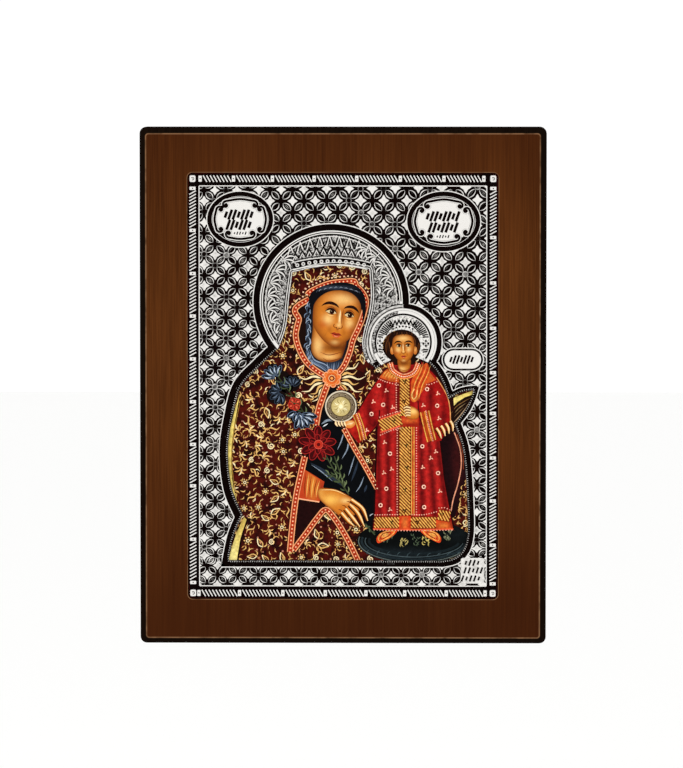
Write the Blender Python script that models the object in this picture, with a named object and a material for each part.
"""Framed icon: a wooden board with a sunk face, a painted panel in it and a pierced silver cover.

Every part is modelled lying on its back, as it would be made on a bench: x runs across, y runs up the
icon and z is the height above the board's flat back. An empty turns the whole upright, so in the world
the icon's top is +Z, its face looks along -Y and the middle of its flat back is the origin.
Sizes are in millimetres and turned to metres where a mesh is made.
"""
import math

import bmesh
import bpy
from mathutils import Vector

MM = 0.001

# Board
BOARD_WIDTH = 220.0
BOARD_HEIGHT = 280.0
BOARD_DEPTH = 20.0
CORNER_RADIUS = 3.5
EDGE_WIDTH = 2.8          # the dark edge, seen from the front
EDGE_DROP = 5.0           # how far the edge falls back from the face
SHOULDER_SOFTENING = 1.6  # rounding where the sloped edge meets the side
RECESS_WIDTH = 168.0
RECESS_HEIGHT = 231.0
RECESS_RADIUS = 2.8
RECESS_FLOOR = 17.0       # height of the recess floor above the back

# Hanging hole in the back
HOLE_RADIUS = 6.0
HOLE_DEPTH = 10.0
HOLE_Y = 100.0

# Painted panel and silver cover, stacked with a fine gap between pieces
GAP = 0.3
PANEL_WIDTH = 167.2
PANEL_HEIGHT = 230.2
PANEL_LOW = RECESS_FLOOR + GAP
PANEL_HIGH = PANEL_LOW + 1.0
COVER_WIDTH = 166.2
COVER_HEIGHT = 229.2
COVER_RADIUS = 2.2
COVER_LOW = PANEL_HIGH + GAP
GROOVE_LEVEL = COVER_LOW + 0.6    # floor of the dark grooves
FIELD_LEVEL = GROOVE_LEVEL + 0.3  # ground of the patterned field
BORDER_LEVEL = FIELD_LEVEL + 0.15
RIM_LEVEL = FIELD_LEVEL + 0.35
BURIED = GROOVE_LEVEL - 0.3       # raised work starts inside the sheet

# Layout of the cover, from the middle of the icon
BORDER_OUTER = (82.9, 114.4)
BORDER_INNER = (79.5, 110.3)
FIELD_HALF = (78.0, 108.7)
HALO_CENTRE = (-6.3, 45.7)
HALO_RIM = (36.9, 38.6)
HALO_GROOVE = 41.9
CHILD_HALO_CENTRE = (32.6, 24.0)
CHILD_HALO_RIM = (15.5, 17.1)
CHILD_HALO_GROOVE = 20.7
OVALS = (
    ((-55.4, 90.3), (17.7, 14.8), (15.4, 12.5)),   # centre, groove radii, pad radii
    ((54.4, 89.2), (19.6, 16.0), (17.2, 13.6)),
)
STADIUM_CENTRE = (64.8, 14.6)
STADIUM_HALF = (10.8, 5.8)
STADIUM_GROOVE = 0.9

CURVE_STEP = 2.2          # spacing of points along a free curve
ARC_STEP = 1.8            # spacing of points along a circle


# Outlines, as lists of (x, y) going anticlockwise

def circle(centre, radius_x, radius_y=None):
    """A circle or an ellipse, with enough points for its size."""
    radius_y = radius_x if radius_y is None else radius_y
    count = 4 * max(5, round(math.pi * (radius_x + radius_y) / ARC_STEP / 4))
    angles = [2 * math.pi * i / count for i in range(count)]
    return [(centre[0] + radius_x * math.cos(a), centre[1] + radius_y * math.sin(a)) for a in angles]


def rounded_rectangle(half_x, half_y, radius, centre=(0.0, 0.0), steps=5):
    """A rectangle whose corners are quarter circles."""
    points = []
    for quarter, (side_x, side_y) in enumerate(((1, 1), (-1, 1), (-1, -1), (1, -1))):
        for i in range(steps + 1):
            angle = math.pi / 2 * (quarter + i / steps)
            x = centre[0] + side_x * (half_x - radius) + radius * math.cos(angle)
            y = centre[1] + side_y * (half_y - radius) + radius * math.sin(angle)
            points.append((x, y))
    return points


def soft_run(*anchors):
    """A smooth curve through the anchors, whose two ends are corners."""
    knots = [Vector(p) for p in anchors]
    knots = [2 * knots[0] - knots[1]] + knots + [2 * knots[-1] - knots[-2]]
    points = []
    for before, start, end, after in zip(knots, knots[1:], knots[2:], knots[3:]):
        steps = max(1, round((end - start).length / CURVE_STEP))
        for i in range(steps):
            t = i / steps
            point = 0.5 * (2 * start + (end - before) * t
                           + (2 * before - 5 * start + 4 * end - after) * t ** 2
                           + (3 * start - before - 3 * end + after) * t ** 3)
            points.append(tuple(point))
    points.append(tuple(knots[-2]))
    return points


def grown(outline, by):
    """The outline moved outward by a distance, with mitred corners."""
    corners = [Vector(p) for p in outline]
    moved = []
    for i, corner in enumerate(corners):
        into = (corner - corners[i - 1]).normalized()
        out = (corners[(i + 1) % len(corners)] - corner).normalized()
        normal = Vector((into.y + out.y, -into.x - out.x)).normalized()
        mitre = max(0.6, normal.dot(Vector((into.y, -into.x))))
        moved.append(tuple(corner + normal * (by / mitre)))
    return moved


# The figure-shaped opening, as overlapping lobes; each also gives the width of the dark band beside it

VEIL = (
    [(-30.0, -5.0), (22.0, -5.0)]
    + soft_run((17.8, 9.4), (12.2, 15.0), (10.4, 23.0), (11.3, 30.0), (14.0, 40.0), (15.1, 50.0), (14.2, 63.4))
    + soft_run((14.2, 63.4), (0.0, 65.5), (-14.0, 64.5), (-27.2, 61.6))[1:]
    + soft_run((-27.2, 61.6), (-29.0, 48.0), (-30.4, 34.0), (-32.6, 26.0), (-35.2, 20.3))[1:]
)
LEFT_MANTLE = (
    soft_run((-35.2, 20.3), (-45.6, 10.2), (-55.2, -0.5), (-59.8, -17.0), (-62.2, -35.0),
             (-60.2, -55.0), (-54.3, -69.6))
    + [(-40.0, -75.0), (0.0, -75.0), (0.0, 15.0), (-20.0, 25.0)]
)
LOWER_MANTLE = (
    soft_run((-54.3, -69.6), (-59.0, -81.0), (-61.9, -94.4))
    + soft_run((54.0, -94.4), (60.5, -92.8), (65.4, -88.0), (67.5, -79.0), (67.3, -64.0),
               (66.3, -46.0), (64.4, -32.0), (60.3, -20.2))
    + [(50.0, -15.0), (10.0, -20.0), (-30.0, -50.0)]
)
SLEEVE_TIP = (
    soft_run((60.3, -20.2), (66.8, -11.5), (70.7, -1.9))
    + soft_run((70.7, -1.9), (64.0, -3.2), (57.0, -6.8))[1:]
    + [(50.0, -15.0)]
)
CHILD_ROBE = (
    [(-5.0, -30.0), (50.0, -30.0), (60.3, -20.2)]
    + soft_run((57.0, -6.8), (53.3, 3.6), (47.0, 12.2), (38.5, 16.2))
    + soft_run((26.5, 14.6), (21.5, 12.0), (17.8, 9.4))
    + [(10.0, 5.0), (-5.0, 5.0)]
)
CHILD_HEAD = circle((31.7, 21.8), 10.3, 9.0)
LOBES = (
    (VEIL, 0.0),
    (LEFT_MANTLE, 4.4),
    (LOWER_MANTLE, 3.3),
    (SLEEVE_TIP, 2.4),
    (CHILD_ROBE, 3.2),
    (CHILD_HEAD, 0.0),
)


# Making solids

def clear_scene():
    for old in list(bpy.data.objects):
        bpy.data.objects.remove(old, do_unlink=True)


def new_collection(name):
    collection = bpy.data.collections.new(name)
    bpy.context.scene.collection.children.link(collection)
    return collection


def make_material(name, colour, roughness, metallic):
    material = bpy.data.materials.new(name)
    material.use_nodes = True
    shader = material.node_tree.nodes["Principled BSDF"]
    shader.inputs["Base Color"].default_value = (*colour, 1.0)
    shader.inputs["Roughness"].default_value = roughness
    shader.inputs["Metallic"].default_value = metallic
    return material


def weld(mesh):
    """Merges a curve's loose caps with its sides and turns every face outward."""
    edit = bmesh.new()
    edit.from_mesh(mesh)
    bmesh.ops.remove_doubles(edit, verts=edit.verts, dist=0.000001)
    bmesh.ops.recalc_face_normals(edit, faces=edit.faces)
    edit.to_mesh(mesh)
    edit.free()


def plate(name, outlines, low, high, collection, upright):
    """A flat solid between two heights; outlines after the first are holes in it."""
    curve = bpy.data.curves.new(name, "CURVE")
    curve.dimensions = "2D"
    curve.fill_mode = "BOTH"
    curve.extrude = (high - low) / 2 * MM
    for outline in outlines:
        spline = curve.splines.new("POLY")
        spline.points.add(len(outline) - 1)
        for point, (x, y) in zip(spline.points, outline):
            point.co = (x * MM, y * MM, 0.0, 1.0)
        spline.use_cyclic_u = True
    drawn = bpy.data.objects.new(name + "_drawn", curve)
    drawn.parent = upright
    drawn.location.z = (high + low) / 2 * MM
    collection.objects.link(drawn)

    bpy.context.view_layer.update()
    evaluated = drawn.evaluated_get(bpy.context.evaluated_depsgraph_get())
    mesh = bpy.data.meshes.new_from_object(evaluated)
    weld(mesh)
    solid = bpy.data.objects.new(name, mesh)
    collection.objects.link(solid)
    solid.matrix_world = drawn.matrix_world.copy()
    bpy.data.objects.remove(drawn, do_unlink=True)
    bpy.data.curves.remove(curve)
    solid.parent = upright
    solid.matrix_parent_inverse = upright.matrix_world.inverted()
    return solid


def as_cutter(solid):
    solid.hide_render = True
    solid.display_type = "WIRE"
    return solid


def combine(target, other, operation):
    """Cuts another solid out of the target, or joins it on."""
    modifier = target.modifiers.new(operation.lower() + "_" + other.name, "BOOLEAN")
    modifier.operation = operation
    modifier.solver = "EXACT"
    modifier.object = as_cutter(other)


# The pieces

def slope_edge(mesh):
    """Insets the face of the board, drops its outline to make the sloped edge, and softens that shoulder."""
    edit = bmesh.new()
    edit.from_mesh(mesh)
    top = BOARD_DEPTH / 2 * MM
    bmesh.ops.dissolve_faces(edit, faces=[f for f in edit.faces if f.normal.z > 0.9])
    face = [f for f in edit.faces if f.normal.z > 0.9]
    bmesh.ops.inset_region(edit, faces=face, thickness=EDGE_WIDTH * MM, use_even_offset=True)
    inner = set(face[0].verts)
    shoulder = {v for v in edit.verts if v.co.z > top - 0.01 * MM and v not in inner}
    for vertex in shoulder:
        vertex.co.z = top - EDGE_DROP * MM
    edit.normal_update()
    edges = [e for e in edit.edges if e.verts[0] in shoulder and e.verts[1] in shoulder]
    bmesh.ops.bevel(edit, geom=edges, offset=SHOULDER_SOFTENING * MM, segments=3, profile=0.5, affect="EDGES")
    edit.to_mesh(mesh)
    edit.free()


def make_board(parts, cutters, upright):
    """The wooden board: a dark sloped edge round the face, a sunk panel bed and a blind hanging hole."""
    outline = rounded_rectangle(BOARD_WIDTH / 2, BOARD_HEIGHT / 2, CORNER_RADIUS)
    board = plate("board", [outline], 0.0, BOARD_DEPTH, parts, upright)

    slope_edge(board.data)
    bed = rounded_rectangle(RECESS_WIDTH / 2, RECESS_HEIGHT / 2, RECESS_RADIUS)
    combine(board, plate("recess", [bed], RECESS_FLOOR, BOARD_DEPTH + 1.0, cutters, upright), "DIFFERENCE")
    hole = circle((0.0, HOLE_Y), HOLE_RADIUS)
    combine(board, plate("hanging_hole", [hole], -1.0, HOLE_DEPTH, cutters, upright), "DIFFERENCE")
    board.data.materials.append(make_material("dark_veneered_wood", (0.075, 0.024, 0.008), 0.4, 0.0))
    return board


def make_painted_panel(parts, upright):
    outline = rounded_rectangle(PANEL_WIDTH / 2, PANEL_HEIGHT / 2, COVER_RADIUS)
    panel = plate("painted_panel", [outline], PANEL_LOW, PANEL_HIGH, parts, upright)
    panel.data.materials.append(make_material("painted_gesso", (0.12, 0.02, 0.01), 0.35, 0.0))
    return panel


def make_field(cutters, upright):
    """The patterned ground inside the border, cut back to the dark bands round figure, halos and ovals."""
    field = plate("field", [rounded_rectangle(*FIELD_HALF, 0.6, steps=1)], BURIED, FIELD_LEVEL, cutters, upright)
    hollows = [grown(lobe, band) for lobe, band in LOBES if band > 0.0]
    hollows.append(circle(HALO_CENTRE, HALO_GROOVE))
    hollows.append(circle(CHILD_HALO_CENTRE, CHILD_HALO_GROOVE))
    hollows += [circle(centre, *groove) for centre, groove, _ in OVALS]
    hollows.append(rounded_rectangle(*STADIUM_HALF, STADIUM_HALF[1], STADIUM_CENTRE))
    for i, hollow in enumerate(hollows):
        band = plate(f"field_band_{i}", [hollow], BURIED - 1.0, FIELD_LEVEL + 1.0, cutters, upright)
        combine(field, band, "DIFFERENCE")
    return field


def make_halo(name, centre, rim, cutters, upright, cleared=None):
    """A halo disc with a raised rim, cut back where another halo's groove crosses it."""
    disc = plate(name, [circle(centre, (rim[0] + rim[1]) / 2)], BURIED, FIELD_LEVEL, cutters, upright)
    ring = plate(name + "_rim", [circle(centre, rim[1]), circle(centre, rim[0])],
                 BURIED - 0.1, RIM_LEVEL, cutters, upright)
    combine(disc, ring, "UNION")
    if cleared:
        clear = plate(name + "_clear", [circle(*cleared)], BURIED - 1.0, RIM_LEVEL + 1.0, cutters, upright)
        combine(disc, clear, "DIFFERENCE")
    return disc


def make_silver_cover(parts, cutters, upright):
    """One sheet: raised border, field, halos and cartouche pads, with the figure's opening cut through all."""
    sheet_outline = rounded_rectangle(COVER_WIDTH / 2, COVER_HEIGHT / 2, COVER_RADIUS)
    cover = plate("silver_cover", [sheet_outline], COVER_LOW, GROOVE_LEVEL, parts, upright)
    border = plate("border_band", [rounded_rectangle(*BORDER_OUTER, COVER_RADIUS),
                                   rounded_rectangle(*BORDER_INNER, 0.5, steps=1)],
                   BURIED, BORDER_LEVEL, cutters, upright)
    raised = [border, make_field(cutters, upright)]
    raised.append(make_halo("halo", HALO_CENTRE, HALO_RIM, cutters, upright,
                            cleared=(CHILD_HALO_CENTRE, CHILD_HALO_GROOVE)))
    raised.append(make_halo("child_halo", CHILD_HALO_CENTRE, CHILD_HALO_RIM, cutters, upright))
    for i, (centre, _, pad) in enumerate(OVALS):
        raised.append(plate(f"oval_pad_{i}", [circle(centre, *pad)], BURIED, BORDER_LEVEL, cutters, upright))
    pad_half = [half - STADIUM_GROOVE for half in STADIUM_HALF]
    raised.append(plate("stadium_pad", [rounded_rectangle(*pad_half, pad_half[1], STADIUM_CENTRE)],
                        BURIED, BORDER_LEVEL, cutters, upright))
    for solid in raised:
        combine(cover, solid, "UNION")
    for i, (lobe, _) in enumerate(LOBES):
        opening = plate(f"opening_{i}", [lobe], COVER_LOW - 1.0, RIM_LEVEL + 1.0, cutters, upright)
        combine(cover, opening, "DIFFERENCE")
    cover.data.materials.append(make_material("oxidised_silver", (0.78, 0.77, 0.75), 0.3, 1.0))
    return cover


def build():
    clear_scene()
    parts = new_collection("framed_icon")
    cutters = new_collection("cutters")
    upright = bpy.data.objects.new("upright", None)
    upright.rotation_euler.x = math.pi / 2
    parts.objects.link(upright)
    bpy.context.view_layer.update()
    make_board(parts, cutters, upright)
    make_painted_panel(parts, upright)
    make_silver_cover(parts, cutters, upright)


build()
